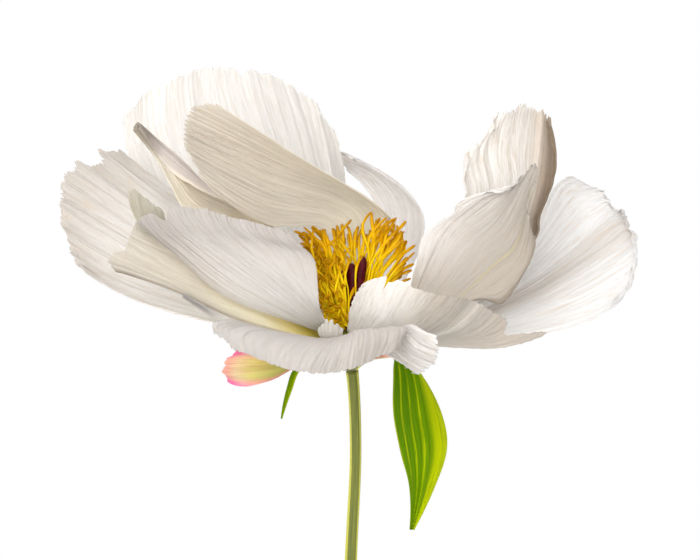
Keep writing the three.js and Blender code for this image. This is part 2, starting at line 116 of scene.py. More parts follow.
def soft_lamp(name, place, target, size, power):
    """A square area lamp at one point, turned to face another."""
    data = bpy.data.lights.new(name, "AREA")
    data.size = size
    data.energy = power
    lamp = bpy.data.objects.new(name, data)
    lamp.location = place
    heading = np.subtract(target, place)
    dip = math.atan2(math.hypot(heading[0], heading[1]), -heading[2])
    lamp.rotation_euler = (dip, 0, math.atan2(heading[1], heading[0]) - math.pi / 2)
    bpy.context.collection.objects.link(lamp)


soft_lamp("lamp_back", (-0.5, 0.55, 0.95), (0, 0, 0.24), 0.6, 8.0)
soft_lamp("lamp_front", (-0.1, -1.05, 0.52), (0, 0, 0.23), 1.0, 13.0)


# ----------------------------------------------------------------------------
# Floor: a plain round sheet of matt white board under the vase.
FLOOR_RADIUS = 0.5
FLOOR_DROP = 0.0004

turn = np.linspace(0, 2 * np.pi, 97)[:-1]
floor_points = np.stack([FLOOR_RADIUS * np.cos(turn), FLOOR_RADIUS * np.sin(turn), 0 * turn - FLOOR_DROP], 1)
floor_mesh = bpy.data.meshes.new("floor")
floor_mesh.from_pydata(floor_points.tolist(), [], [list(range(len(turn)))])
floor = bpy.data.objects.new("floor", floor_mesh)
bpy.context.collection.objects.link(floor)
board = bpy.data.materials.new("white_board")
board.use_nodes = True
board.node_tree.nodes["Principled BSDF"].inputs["Base Color"].default_value = (0.9, 0.9, 0.89, 1)
board.node_tree.nodes["Principled BSDF"].inputs["Roughness"].default_value = 0.8
floor_mesh.materials.append(board)


# ----------------------------------------------------------------------------
# Vase: slip-cast stoneware turned smooth, with a round body, a slender neck and a flared lip.
# It carries one coat of pale, nearly white glaze, which stops just short of the foot.
VASE_HEIGHT = 140.0
VASE_FLOOR = 6.0
VASE_SIDES = 128
BARE_RIM = 0.0012
BARE_CLAY = (0.40, 0.32, 0.24, 1)
GLAZE_TONES = [(0.0, (0.42, 0.41, 0.385)), (1.0, (0.51, 0.50, 0.475))]
OUTER_WALL = [
    (0, 0), (25, 0), (27, 1.2), (31, 12), (33.6, 28), (33.6, 42), (30.5, 58), (24, 73), (16.5, 86),
    (11.6, 98), (9.6, 110), (9.2, 122), (10.6, 132), (14.2, 139.2),
]
INNER_WALL = [
    (13.8, VASE_HEIGHT), (12.8, 139.8), (7.6, 132), (6.1, 122), (6.4, 110), (8.4, 98), (13.3, 86),
    (20.8, 73), (27.3, 58), (30.4, 42), (30.4, 28), (27.8, 14), (23, VASE_FLOOR + 1),
    (20, VASE_FLOOR), (0, VASE_FLOOR),
]


def with_ends(stations):
    """The stations and one more at each end, on the parabola through the nearest three."""
    first = 3 * stations[0] - 3 * stations[1] + stations[2]
    final = 3 * stations[-1] - 3 * stations[-2] + stations[-3]
    return np.concatenate([first[None], stations, final[None]])


def between(p0, p1, p2, p3, f):
    """Point a fraction f of the way from p1 to p2 on a Catmull-Rom curve: half of
    2 p1 + (p2 - p0) f + (2 p0 - 5 p1 + 4 p2 - p3) f^2 + (3 p1 - p0 - 3 p2 + p3) f^3."""
    square = 2 * p0 - 5 * p1 + 4 * p2 - p3
    cube = 3 * p1 - p0 - 3 * p2 + p3
    return 0.5 * (2 * p1 + (p2 - p0) * f + square * f**2 + cube * f**3)


def spline(stations, t):
    """Points of the curve through evenly spaced stations, for an array t of station numbers."""
    stations = np.asarray(stations, float)
    padded = with_ends(stations)
    span = np.clip(np.floor(t).astype(int), 0, len(stations) - 2)
    f = np.reshape(t - span, np.shape(t) + (1,) * (stations.ndim - 1))
    return between(*(padded[span + k] for k in range(4)), f)


def put_piece(name, points, quads, uv, material, replaced, triangles=None):
    """Makes a smooth mesh object of quads (and triangles) with one uv pair per corner."""
    mesh = bpy.data.meshes.new(name)
    faces = quads.tolist() + ([] if triangles is None else triangles.tolist())
    mesh.from_pydata(points * MM, [], faces)
    layer = mesh.uv_layers.new(name="shape")
    corners = np.empty(len(mesh.loops), np.int32)
    mesh.loops.foreach_get("vertex_index", corners)
    layer.data.foreach_set("uv", uv[corners].astype(np.float32).ravel())
    mesh.polygons.foreach_set("use_smooth", np.ones(len(mesh.polygons), bool))
    mesh.materials.append(material)
    mesh.update()
    piece = bpy.data.objects.new(name, mesh)
    bpy.context.collection.objects.link(piece)
    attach(piece, "root")
    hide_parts(replaced)
    return piece


def ring_faces(rings, sides):
    """Quads of a tube of rings, each joined to the next, all facing away from the axis."""
    ring = np.arange(rings - 1)[:, None] * sides
    k = np.arange(sides)[None, :]
    after = (k + 1) % sides
    return np.stack([ring + k, ring + after, ring + sides + after, ring + sides + k], -1).reshape(-1, 4)


def turned(name, profile, sides, material, replaced):
    """Body of revolution: each profile point (r, z) becomes the ring (r cos a, r sin a, z)."""
    profile = np.asarray(profile, float)
    profile[0, 0] = profile[-1, 0] = 0
    angle = np.linspace(0, 2 * np.pi, sides + 1)[:-1]
    middle = profile[1:-1]
    ring = np.stack([np.cos(angle), np.sin(angle), 0 * angle], -1)
    points = middle[:, None, :1] * ring[None] + middle[:, None, 1:] * np.array([0, 0, 1.0])
    poles = np.array([[0, 0, profile[0, 1]], [0, 0, profile[-1, 1]]])
    points = np.concatenate([points.reshape(-1, 3), poles])
    count = len(middle) * sides
    k = np.arange(sides)
    after = (k + 1) % sides
    top = count - sides
    fans = np.concatenate([
        np.stack([0 * k + count, after, k], -1),
        np.stack([0 * k + count + 1, top + k, top + after], -1),
    ])
    height = np.repeat(np.linspace(0, 1, len(middle)), sides)
    uv = np.stack([height, np.tile(k / sides, len(middle))], -1)
    uv = np.concatenate([uv, [[0, 0], [1, 0]]])
    return put_piece(name, points, ring_faces(len(middle), sides), uv, material, replaced, fans)


def new_material(name):
    """An empty node material and its tree."""
    made = bpy.data.materials.new(name)
    made.use_nodes = True
    made.node_tree.nodes.clear()
    return made, made.node_tree


def show(tree, surface):
    """Ends a material's nodes with its surface."""
    add_node(tree, "ShaderNodeOutputMaterial", Surface=surface)


def finish(tree, colour, normal, **values):
    """The common surface with a colour and a relief."""
    return add_node(tree, "ShaderNodeBsdfPrincipled", Base_Color=colour, Normal=normal, **values)


def relief(tree, height, strength, distance):
    """Fine relief of the surface, too small to be in its mesh."""
    made = add_node(tree, "ShaderNodeBump", Height=height, Strength=strength, Distance=distance)
    return made.outputs["Normal"]


def tinted(tree, share, first, second):
    """The colour first, turned towards the colour second by share."""
    made = add_node(tree, "ShaderNodeMixRGB", Fac=share, Color1=first, Color2=second)
    return made.outputs["Color"]


def ramp(tree, position, stops):
    """A colour ramp of (place, colour) stops, read at the socket position."""
    made = tree.nodes.new("ShaderNodeValToRGB")
    for stop, (at, colour) in zip(made.color_ramp.elements, (stops[0], stops[-1])):
        stop.position, stop.color = at, (*colour, 1)
    for at, colour in stops[1:-1]:
        made.color_ramp.elements.new(at).color = (*colour, 1)
    tree.links.new(position, made.inputs["Fac"])
    return made.outputs["Color"]


def noise(tree, vector, scale, detail=2.0, **values):
    """The grey value of a noise that is read at the vector."""
    made = add_node(tree, "ShaderNodeTexNoise", Vector=vector, Scale=scale, Detail=detail, **values)
    return made.outputs["Fac"]


def axes(tree, vector):
    """The outputs X, Y and Z of a vector."""
    return add_node(tree, "ShaderNodeSeparateXYZ", Vector=vector).outputs


glaze, tree = new_material("white_glaze")
place = tree.nodes.new("ShaderNodeTexCoord").outputs["Object"]
clouds = noise(tree, place, 38.0, 4.0)
specks = noise(tree, place, 900.0, 1.0)
bare = maths(tree, "LESS_THAN", axes(tree, place)["Z"], BARE_RIM)
ripple = maths(tree, "ADD", clouds, maths(tree, "MULTIPLY", specks, 0.06))
rough = maths(tree, "ADD", 0.14, maths(tree, "MULTIPLY", bare, 0.6))
clay = tinted(tree, bare, ramp(tree, clouds, GLAZE_TONES), BARE_CLAY)
show(tree, finish(tree, clay, relief(tree, ripple, 0.25, 0.0012), Roughness=rough, IOR=1.5).outputs[0])

outer = spline(OUTER_WALL[2:], np.linspace(0, len(OUTER_WALL) - 3, 70))
inner = spline(INNER_WALL[1:-2], np.linspace(0, len(INNER_WALL) - 4, 60))
vase_profile = np.concatenate([
    [OUTER_WALL[0], (12, 0), (24.4, 0), (25.2, 0.05), (26.2, 0.5)], outer,
    [(14.15, 139.7), INNER_WALL[0], (13.3, 140.0)], inner, [(20, VASE_FLOOR), INNER_WALL[-1]],
])
turned("vase_body", vase_profile, VASE_SIDES, glaze, "vase")


# ----------------------------------------------------------------------------
# Water: clear tap water up to the shoulder of the vase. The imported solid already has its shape,
# with the hole where the stem stands, so it only gets a clear, very slightly green finish.
clear, tree = new_material("tap_water")
swell = noise(tree, tree.nodes.new("ShaderNodeTexCoord").outputs["Object"], 60.0)
liquid = finish(
    tree, (0.93, 0.97, 0.95, 1), relief(tree, swell, 0.05, 0.0005),
    Roughness=0.02, IOR=1.33, Transmission_Weight=1.0,
)
show(tree, liquid.outputs[0])
for place_of_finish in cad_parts["water"].material_slots:
    place_of_finish.material = clear


# ----------------------------------------------------------------------------
# Stem: one green stalk, slightly ribbed and twisted, with a painted highlight down either side of its front.
# It is cut square, stands on the vase's floor, leans on the back of the neck and carries the bloom.
BLOOM_Z = 214.0
STEM_SIDES = 28
STEM_RINGS = 160
STEM_RADIUS = 2.1
STEM_TOP_RADIUS = 2.3
STEM_TONES = [(0.3, (0.05, 0.065, 0.004)), (0.72, (0.17, 0.18, 0.015))]
# Painted highlight: the pale green stripes beside the stem's front stand for its lit edges.
EDGE_HIGHLIGHT_GREEN = (0.5, 0.48, 0.03, 1)
FRONT_OF_STEM = 0.75
HIGHLIGHT_FROM_FRONT = 0.19
HIGHLIGHT_HALF_WIDTH = 0.07
STEM_STATIONS = [
    (-2, -14, VASE_FLOOR + 0.6), (-1.6, -8.5, 40), (-1, -2.6, 76), (-0.4, 2.7, 112), (0.3, 4.2, 148),
    (1.6, 1.8, 180), (0.6, 0, BLOOM_Z - 9.5),
]


def swept(path, radii, profile):
    """Rings of a closed round section carried along one path of points, or along many at once.

    At each point the section's axes are across the path, and profile (rings by sides) times the
    point's radius is how far out each corner lies.
    """
    heading = np.gradient(path, axis=-2)
    heading /= np.linalg.norm(heading, axis=-1, keepdims=True)
    side = np.array([1.0, 0, 0]) - heading * heading[..., :1]
    side /= np.linalg.norm(side, axis=-1, keepdims=True)
    other = np.cross(heading, side)
    angle = np.linspace(0, 2 * np.pi, profile.shape[-1] + 1)[:-1, None]
    ring = np.cos(angle) * side[..., None, :] + np.sin(angle) * other[..., None, :]
    return path[..., None, :] + (radii[..., None] * profile)[..., None] * ring


def capped_tubes(name, rings, material, replaced):
    """Closed tubes from rings of points (tubes by rings by sides by 3), with a fan at each end.

    The uv pair is the part of the length, and the part of the way round plus the tube's number.
    """
    tubes, count, sides, _ = rings.shape
    corners = rings.reshape(tubes, -1, 3)
    ends = np.stack([rings[:, 0].mean(1), rings[:, -1].mean(1)], 1)
    points = np.concatenate([corners, ends], 1)
    k = np.arange(sides)
    after = (k + 1) % sides
    top = (count - 1) * sides
    fans = np.concatenate([
        np.stack([0 * k + count * sides, after, k], -1),
        np.stack([0 * k + count * sides + 1, top + k, top + after], -1),
    ])
    start = (np.arange(tubes) * points.shape[1])[:, None, None]
    quads = (ring_faces(count, sides)[None] + start).reshape(-1, 4)
    fans = (fans[None] + start).reshape(-1, 3)
    uv = np.stack([np.repeat(np.linspace(0, 1, count), sides), np.tile(k / sides, count)], -1)
    tube_number = np.stack([0 * start[:, 0], start[:, 0] / points.shape[1]], -1)
    uv = np.concatenate([uv, [[0, 0], [1, 0]]])[None] + tube_number
    return put_piece(name, points.reshape(-1, 3), quads, uv.reshape(-1, 2), material, replaced, fans)


def shape_map(tree):
    """The uv pair that put_piece gives each corner."""
    made = tree.nodes.new("ShaderNodeUVMap")
    made.uv_map = "shape"
    return made.outputs["UV"]


def streaks(tree, way, scale, detail, start=(0, 0, 0), **values):
    """Noise drawn out along a piece: scale says how often it changes along and across it."""
    drawn_out = add_node(tree, "ShaderNodeMapping", Vector=way, Location=start, Scale=(*scale, 1))
    return noise(tree, drawn_out.outputs["Vector"], 1.0, detail, **values)


stem_green, tree = new_material("stem_skin")
way = shape_map(tree)
fibres = streaks(tree, way, (9, 34), 5.0, Roughness=0.65)
from_front = maths(tree, "ABSOLUTE", maths(tree, "SUBTRACT", axes(tree, way)["Y"], FRONT_OF_STEM))
from_highlight = maths(tree, "ABSOLUTE", maths(tree, "SUBTRACT", from_front, HIGHLIGHT_FROM_FRONT))
on_painted_highlight = maths(tree, "LESS_THAN", from_highlight, HIGHLIGHT_HALF_WIDTH)
# Painted highlight: the skin turns pale green on the two stripes beside the front.
skin = tinted(tree, maths(tree, "MULTIPLY", on_painted_highlight, 0.7), ramp(tree, fibres, STEM_TONES), EDGE_HIGHLIGHT_GREEN)
bark = finish(tree, skin, relief(tree, fibres, 0.5, 0.0003), Roughness=0.5, Specular_IOR_Level=0.4)
show(tree, bark.outputs[0])

t = np.linspace(0, 1, STEM_RINGS)
stem_path = spline(STEM_STATIONS, t * (len(STEM_STATIONS) - 1))
waist = 0.5 * np.sin(np.pi * np.maximum(t - 0.5, 0))
stem_radii = STEM_RADIUS - waist + (STEM_TOP_RADIUS - STEM_RADIUS) * t**8
angle = np.linspace(0, 2 * np.pi, STEM_SIDES + 1)[:-1]
ribs = 1 - 0.05 * (1 - np.cos(5 * angle[None] + 5 * t[:, None])) * np.clip((1 - t[:, None]) * 12, 0, 1)
capped_tubes("stem_stalk", swept(stem_path, stem_radii, ribs)[None], stem_green, "stem")


# ----------------------------------------------------------------------------
# Receptacle: the fleshy green knob at the top of the stem that every petal, sepal and stamen
# grows from. It swells from the stem and steps in towards the stamens.
KNOB = [
    (0, -9), (2.4, -9), (2.9, -8.4), (4.4, -7), (5.6, -6), (5.7, -5), (5.9, -4.1), (5.9, -2.6), (5.3, -2),
    (5.2, -0.6), (4.4, 0), (4.3, 1.4), (3.9, 2.1), (3.4, 2.4), (0, 2.4),
]
knob_profile = spline(KNOB[1:-1], np.linspace(0, len(KNOB) - 3, 48)) * 0.995 + [0, BLOOM_Z]
knob_profile = np.concatenate([[(0, BLOOM_Z - 9)], knob_profile, [(0, BLOOM_Z + 2.4)]])
turned("receptacle_knob", knob_profile, 48, stem_green, "receptacle")


# ----------------------------------------------------------------------------
# Petals: thin, soft blades of white tissue that grow from narrow claws round the receptacle and
# widen into cups. Fine veins run from the claw to the margin, which is crimped and a little torn.
# Light comes through them; they are cream near the claw. Painted shade darkens their fine vein
# lines and, on most petals, their folds, curled margins and far ends.
ALONG_CELLS = 90
ACROSS_CELLS = 180


def claw_row(turn, radius, height, half_width, count):
    """The points where a blade starts: side by side on a line that touches a circle."""
    angle = math.radians(turn)
    out_way = np.array([math.cos(angle), math.sin(angle), 0])
    side_way = np.array([-math.sin(angle), math.cos(angle), 0])
    return radius * out_way + half_width * np.linspace(-1, 1, count)[:, None] * side_way + [0, 0, height]


def along_stations(stations, t):
    """The same curve for stations that differ from column to column of the grid t."""
    padded = with_ends(stations)
    span = np.clip(np.floor(t).astype(int), 0, len(stations) - 2)
    column = np.arange(t.shape[1])[None]
    return between(*(padded[span + k, column] for k in range(4)), (t - span)[..., None])


def waves(rng, v, u, sizes, drift=1.6):
    """Sum of sines across the blade, one for each (count, size), that wander a little along it."""
    total = 0 * u * v
    for count, size in sizes:
        phase, slide, bend = rng.uniform(0, 2 * np.pi), rng.uniform(-drift, drift), rng.uniform(2, 5)
        total = total + size * np.sin(np.pi * count * v + phase + slide * u + 0.7 * np.sin(bend * u + phase))
    return total


def blade(
    name, material, replaced, claw, rows, corner=0.0, power=2, notches=(), ruffle=(0, 0, 0), pleats=(),
    fringe=0.0, seed=1, half_thickness=0.2, cells=(ALONG_CELLS, ACROSS_CELLS), grooves=(), bites=(),
):
    """Closed thin blade on a grid of u (claw to tip) and v (one margin to the other, -1 to 1).

    The claw is given as for claw_row, or as a row of points where the blade starts elsewhere. A
    spline joins each row's points across, and another joins the rows along. The tip is cut back by
    corner |v|^power, by notches (place, depth, spread) and by a fringe of fine teeth, and the
    margins are pinched in by nicks and by bites (side, place, depth, spread). Along the normal go
    the ruffle, size u^3 (0.4 + 0.6 v^2) sin(count pi v + phase), the pleats, which grow with u,
    and the grooves (place, depth, spread).
    """
    rng = np.random.default_rng(seed)
    u = np.linspace(0, 1, cells[0] + 1)[:, None]
    v = np.linspace(-1, 1, cells[1] + 1)[None]
    width = len(rows[0])
    first_row = claw_row(*claw, width) if np.ndim(claw) == 1 else claw
    grid = np.concatenate([[first_row], np.array(rows, float)])
    stations = spline(grid.swapaxes(0, 1), (v[0] + 1) / 2 * (width - 1)).swapaxes(0, 1)
    teeth = np.abs(waves(rng, v, 0 * v, [(13, 0.6), (29, 0.5), (61, 0.3)]))
    reach = u * (1 - corner * np.abs(v)**power) - fringe * teeth * u**12
    for at, depth, spread in notches:
        reach = reach - depth * np.exp(-((v - at) / spread)**2) * u**6
    middle = along_stations(stations, np.clip(reach, 0, 1) * (len(stations) - 1))
    sideways = np.gradient(middle, v[0], axis=1)
    nicks = np.abs(waves(rng, u, np.sign(v), [(9, 0.8), (17, 0.6), (37, 0.4)]))
    pinch = fringe * nicks * np.clip(u * 3, 0, 1)
    for side, at, depth, spread in bites:
        pinch = pinch + depth * np.exp(-((u - at) / spread)**2) * (v * side > 0)
    middle = middle - sideways * (v * np.abs(v)**7 * pinch)[..., None]
    normal = np.cross(np.gradient(middle, axis=0), np.gradient(middle, axis=1))
    normal /= np.linalg.norm(normal, axis=-1, keepdims=True)
    size, count, phase = ruffle
    lift = size * u**3 * (0.4 + 0.6 * v**2) * np.sin(count * np.pi * v + phase)
    lift = lift + (0.12 + 0.88 * u**1.5) * np.clip(u * 6, 0, 1) * waves(rng, v, u, pleats)
    for at, depth, spread in grooves:
        fading = np.sin(np.pi * np.clip(u * 1.02, 0, 1))**0.4
        lift = lift - depth * np.exp(-((v - at) / spread)**2) * fading
    middle = middle + normal * lift[..., None] + [0, 0, BLOOM_Z]
    thin = half_thickness * (1 - 0.5 * np.maximum(u**8, np.abs(v)**8 + 0 * u))[..., None]
    points = np.stack([middle + normal * thin, middle - normal * thin]).reshape(-1, 3)
    number = np.arange(u.size * v.size).reshape(u.size, v.size)
    under = number.size
    top = np.stack([number[:-1, :-1], number[1:, :-1], number[1:, 1:], number[:-1, 1:]], -1)
    top = top.reshape(-1, 4)
    rim = np.concatenate([number[0, :-1], number[:-1, -1], number[-1, :0:-1], number[:0:-1, 0]])
    after = np.roll(rim, -1)
    margin = np.stack([rim, after, after + under, rim + under], -1)
    quads = np.concatenate([top, top[:, ::-1] + under, margin])
    uv = np.stack([u + 0 * v, (v + 1) / 2 + 0 * u], -1).reshape(-1, 2)
    return put_piece(name, points, quads, np.concatenate([uv, uv]), material, replaced)


EVEN = (1, 1, 1)
VEIN_SHADOW = (0.62, 0.50, 0.38, 1)


def thin_tissue(tree, colour, normal, through, **values):
    """Ends the nodes of a thin piece: the share through of the light passes into its tissue."""
    passing = add_node(tree, "ShaderNodeBsdfTranslucent", Color=colour, Normal=normal)
    show(tree, blended(tree, through, finish(tree, colour, normal, **values), passing))


def petal_tissue(name, along, veins, through, seed, across=((0.0, EVEN), (1.0, EVEN)), depth=0.4):
    """Petal finish: the colours along (claw to margin) times those across (one margin to the
    other). veins fine lines cross the blade, depth is how dark they are, and through is the
    share of light that passes into the tissue."""
    made, tree = new_material(name)
    way = shape_map(tree)
    parts = axes(tree, way)
    lines = streaks(tree, way, (7, veins), 4.0, (seed, seed, 0), Roughness=0.7, Distortion=0.6)
    folds = streaks(tree, way, (2.2, veins / 5), 2.0, (0, seed, 0), Roughness=0.5)
    wander = maths(tree, "MULTIPLY", maths(tree, "SUBTRACT", folds, 0.5), 0.06)
    sideways = ramp(tree, maths(tree, "ADD", parts["Y"], wander), across)
    tone = tinted(tree, 1.0, ramp(tree, parts["X"], along), sideways)
    tone.node.blend_type = "MULTIPLY"
    # Painted shade: the fine vein lines are darkened towards VEIN_SHADOW, by up to depth.
    crease = add_node(
        tree, "ShaderNodeMapRange", Value=lines, From_Min=0.5, From_Max=0.74, To_Min=0.0, To_Max=depth,
    )
    height = maths(tree, "ADD", lines, maths(tree, "MULTIPLY", folds, 1.2))
    thin_tissue(
        tree, tinted(tree, crease.outputs["Result"], tone, VEIN_SHADOW), relief(tree, height, 0.8, 0.0008),
        through, Roughness=0.6, Specular_IOR_Level=0.25, Sheen_Weight=0.15,
    )
    return made


CREAM = (0.95, 0.88, 0.66)
WHITE = (0.97, 0.955, 0.935)
IVORY = (0.97, 0.94, 0.87)
BEIGE = (0.97, 0.925, 0.83)
YELLOW_GREEN = (0.62, 0.52, 0.08)
PALE = (0.82, 0.805, 0.785)
THIN = (0.86, 0.84, 0.825)
WARM = (0.87, 0.85, 0.825)
back_white = petal_tissue(
    "petal_back_white", veins=110, through=0.5, seed=3.1, along=[(0.03, CREAM), (0.3, PALE), (1.0, PALE)],
)
thin_white = petal_tissue(
    "petal_thin_white", veins=40, through=0.6, seed=5.4, along=[(0.03, CREAM), (0.3, THIN), (1.0, THIN)],
)
lobe_white = petal_tissue(
    "petal_lobe_white", veins=30, through=0.6, seed=6.4, along=[(0.0, WHITE), (1.0, WHITE)],
)
# Painted shade: the darker band across the middle of the fan (across 0.45 to 0.72) is a painted soft shadow.
fan_white = petal_tissue(
    "petal_fan_white", veins=70, through=0.45, seed=7.7, depth=0.6,
    along=[(0.03, CREAM), (0.3, (0.82, 0.81, 0.8)), (0.8, (0.79, 0.785, 0.785))],
    across=[
        (0.0, EVEN), (0.45, EVEN), (0.52, (0.9, 0.87, 0.84)), (0.64, (0.88, 0.85, 0.82)), (0.72, EVEN),
        (1.0, EVEN),
    ],
)
# Painted shade: the blade is darkened from the middle to a grey beige tip.
left_white = petal_tissue(
    "petal_left_white", veins=70, through=0.4, seed=8.3, depth=0.6,
    along=[(0.03, CREAM), (0.3, (0.85, 0.84, 0.82)), (0.8, (0.74, 0.71, 0.68)), (1.0, (0.60, 0.56, 0.52))],
)
# Painted shade: the dark taupe band along the first margin (across below 0.22) is painted shadow on the
# folded strip there.
upper_white = petal_tissue(
    "petal_upper_white", veins=64, through=0.5, seed=9.2, depth=0.6,
    along=[(0.03, CREAM), (0.3, WARM), (1.0, WARM)],
    across=[
        (0.06, (0.38, 0.3, 0.22)), (0.15, (0.55, 0.47, 0.39)), (0.22, (0.88, 0.83, 0.77)), (0.4, EVEN),
        (1.0, EVEN),
    ],
)
# Painted shade: the blade darkens from cream to beige towards its tip, painted shade of its far part.
inner_cream = petal_tissue(
    "petal_inner_cream", veins=56, through=0.5, seed=11.3, depth=0.5,
    along=[(0.03, CREAM), (0.3, (0.97, 0.93, 0.8)), (0.6, (0.8, 0.755, 0.67)), (1.0, (0.75, 0.70, 0.625))],
)
# Painted shade: the greyish band near the first margin (across 0.03 to 0.36) and the dark tip are painted
# shade of the curled fold.
curled_cream = petal_tissue(
    "petal_curled_cream", veins=50, through=0.45, seed=12.4,
    along=[(0.03, CREAM), (0.4, (0.97, 0.93, 0.84)), (0.8, BEIGE), (0.93, (0.56, 0.5, 0.42))],
    across=[
        (0.0, EVEN), (0.03, (0.85, 0.82, 0.86)), (0.2, (0.8, 0.77, 0.82)), (0.3, (0.72, 0.69, 0.68)),
        (0.36, EVEN), (1.0, (0.92, 0.9, 0.86)),
    ],
)
# Painted shade: the blade is darkened from its first margin across to 0.8, deepest at that margin, for its
# shaded half by the crease; the yellow streak at 0.345 is the midrib's own colour, and so is the yellow green
# at the claw.
right_ivory = petal_tissue(
    "petal_right_ivory", veins=64, through=0.35, seed=15.9, depth=0.5,
    along=[(0.03, YELLOW_GREEN), (0.14, (0.97, 0.93, 0.85)), (0.5, WHITE), (0.9, WHITE)],
    across=[
        (0.0, (0.3, 0.25, 0.2)), (0.06, (0.5, 0.45, 0.39)), (0.12, (0.55, 0.5, 0.44)),
        (0.32, (0.55, 0.5, 0.44)), (0.345, (0.61, 0.55, 0.37)), (0.37, (0.56, 0.52, 0.47)),
        (0.6, (0.63, 0.59, 0.55)), (0.8, (0.78, 0.75, 0.73)), (1.0, EVEN),
    ],
)
# Painted shade: from across 0.4 to the far margin the blade is darkened to grey beige, painted shade of its
# curving right part.
side_painted_shade = petal_tissue(
    "petal_side_beige", veins=60, through=0.35, seed=17.9,
    along=[(0.0, WHITE), (0.5, WHITE), (1.0, (0.92, 0.89, 0.86))],
    across=[
        (0.0, EVEN), (0.2, EVEN), (0.4, (0.54, 0.505, 0.46)), (0.6, (0.44, 0.41, 0.375)),
        (0.66, (0.62, 0.59, 0.55)), (0.71, (0.47, 0.44, 0.41)), (0.85, (0.5, 0.46, 0.42)),
        (1.0, (0.56, 0.52, 0.47)),
    ],
)
# Painted shade: beyond the ivory claw the blade is darkened to grey, painted shade of its underside that
# curves away from the light.
front_painted_shade = petal_tissue(
    "petal_front_grey", veins=70, through=0.3, seed=18.8, depth=0.3,
    along=[(0.1, IVORY), (0.5, (0.58, 0.545, 0.52)), (1.0, (0.55, 0.52, 0.49))],
    across=[(0.0, EVEN), (0.3, (0.9, 0.89, 0.89)), (0.7, (0.92, 0.9, 0.88)), (1.0, (0.86, 0.83, 0.8))],
)
# Painted shade: the blade darkens from the middle to the tip and a little along its first margin, painted
# shade of its keel and folded tip; the yellow green at the claw is its own colour.
inner_painted_shade = petal_tissue(
    "petal_inner_grey", veins=64, through=0.4, seed=19.3,
    along=[
        (0.02, YELLOW_GREEN), (0.08, WHITE), (0.3, WHITE), (0.5, (0.8, 0.76, 0.73)),
        (0.7, (0.64, 0.6, 0.57)),
    ],
    across=[(0.0, (0.8, 0.785, 0.77)), (0.3, (0.93, 0.93, 0.93)), (1.0, EVEN)],
)
# The yellow green near the claw is the petal's own colour; painted shade darkens the blade beyond 0.36 and
# its far margin (across above 0.9).
bowl_cream = petal_tissue(
    "petal_bowl_cream", veins=50, through=0.4, seed=23.5, depth=0.3,
    along=[
        (0.04, (0.5, 0.44, 0.03)), (0.14, (0.66, 0.56, 0.06)), (0.24, (0.9, 0.8, 0.36)),
        (0.36, (0.97, 0.92, 0.72)), (0.6, (0.74, 0.69, 0.59)), (1.0, (0.64, 0.59, 0.52)),
    ],
    across=[(0.0, EVEN), (0.9, EVEN), (0.96, (0.8, 0.76, 0.74)), (1.0, (0.6, 0.55, 0.5))],
)
# Painted shade: the folded tip is dark olive grey all over, painted shade of the fold.
tip_painted_shade = petal_tissue(
    "petal_tip_olive", veins=18, through=0.15, seed=29.0,
    along=[(0.0, (0.54, 0.51, 0.42)), (0.5, (0.40, 0.365, 0.28)), (1.0, (0.44, 0.40, 0.33))],
)
LOOSE = [(5, 0.5), (9, 0.35), (17, 0.2), (29, 0.14), (43, 0.1), (61, 0.06)]
CALM = [(4, 0.3), (9, 0.2), (19, 0.12), (31, 0.1), (47, 0.07), (63, 0.05)]
CRUMPLED = [(3, 0.5), (7, 0.4), (13, 0.28), (23, 0.18), (37, 0.1)]

blade(
    "petal_1_back_tall", back_white, "petal_back_tall",
    claw=(112, 6.2, -3.4, 2), corner=0.13, power=3, notches=[(-0.02, 0.04, 0.04)], ruffle=(0.9, 4, 0.5),
    pleats=LOOSE, fringe=0.014, seed=11,
    rows=[
        [(2, 19, 8), (-6, 29, 7), (-23, 24, 6)],
        [(0, 38, 27), (-18, 52, 26), (-51, 37, 23)],
        [(-2, 41, 46), (-28, 60, 53), (-66, 47, 48)],
        [(-6, 41, 63), (-33, 60, 72), (-64, 47, 69)],
    ],
)
blade(
    "petal_2_back_right", thin_white, "petal_back_right",
    claw=(77, 5.6, -1.4, 1.6), corner=0.06, power=4, pleats=CALM, fringe=0.012, seed=12,
    rows=[
        [(11, 15, 7), (9, 23, 7), (6, 24, 6)],
        [(20, 30, 21), (17, 40, 23), (10, 44, 19)],
        [(19, 36, 34), (14, 46, 37), (7, 50, 33)],
        [(-4, 44, 49), (-4, 48, 47), (-4, 51, 44)],
    ],
)
blade(
    "petal_3_right_upper", upper_white, "petal_right_upper",
    claw=(38, 5.6, -1.6, 1.7), ruffle=(1.1, 4, 0.3), notches=[(0.78, 0.075, 0.13)], fringe=0.014, seed=13,
    pleats=[(5, 0.5), (9, 0.45), (17, 0.35), (29, 0.22), (43, 0.14), (61, 0.07)],
    rows=[
        [(20, 12, 4), (20.5, 16, 4), (19, 20, 5.5), (17, 22, 6), (15, 22, 6)],
        [(51, 25, 22), (47, 36, 21), (40, 44, 21), (33, 46, 20.5), (27, 44, 20)],
        [(55, 28, 31.5), (53, 38, 33), (48, 46, 35.5), (40.5, 45, 34.5), (33, 38, 34.5)],
        [(59.5, 30, 43.5), (55, 42, 46.5), (47.5, 48, 48.5), (38.5, 44, 47.5), (32.5, 36, 40.5)],
        [(58, 32, 56.5), (55.5, 38, 61), (49, 42, 62), (41.5, 42, 56.5), (33.5, 36, 44.5)],
    ],
)
blade(
    "petal_4_right_fan", fan_white, "petal_right_fan",
    claw=(6, 6.2, -3.4, 1.8), corner=0.14, power=3, ruffle=(0.9, 4, 1.2), pleats=LOOSE, fringe=0.01, seed=14,
    notches=[(0.03, 0.05, 0.03), (-0.45, 0.03, 0.25)],
    rows=[
        [(25, -9, 0.5), (25, 6, -1), (22, 16, 2)],
        [(54, -14, 3), (55, 20, 9), (50, 40, 20)],
        [(71.5, -8, 8.5), (77.5, 24, 22.5), (61.5, 50, 38)],
        [(75.5, 2, 15.5), (80, 22, 27.5), (71, 44, 37.5)],
    ],
)
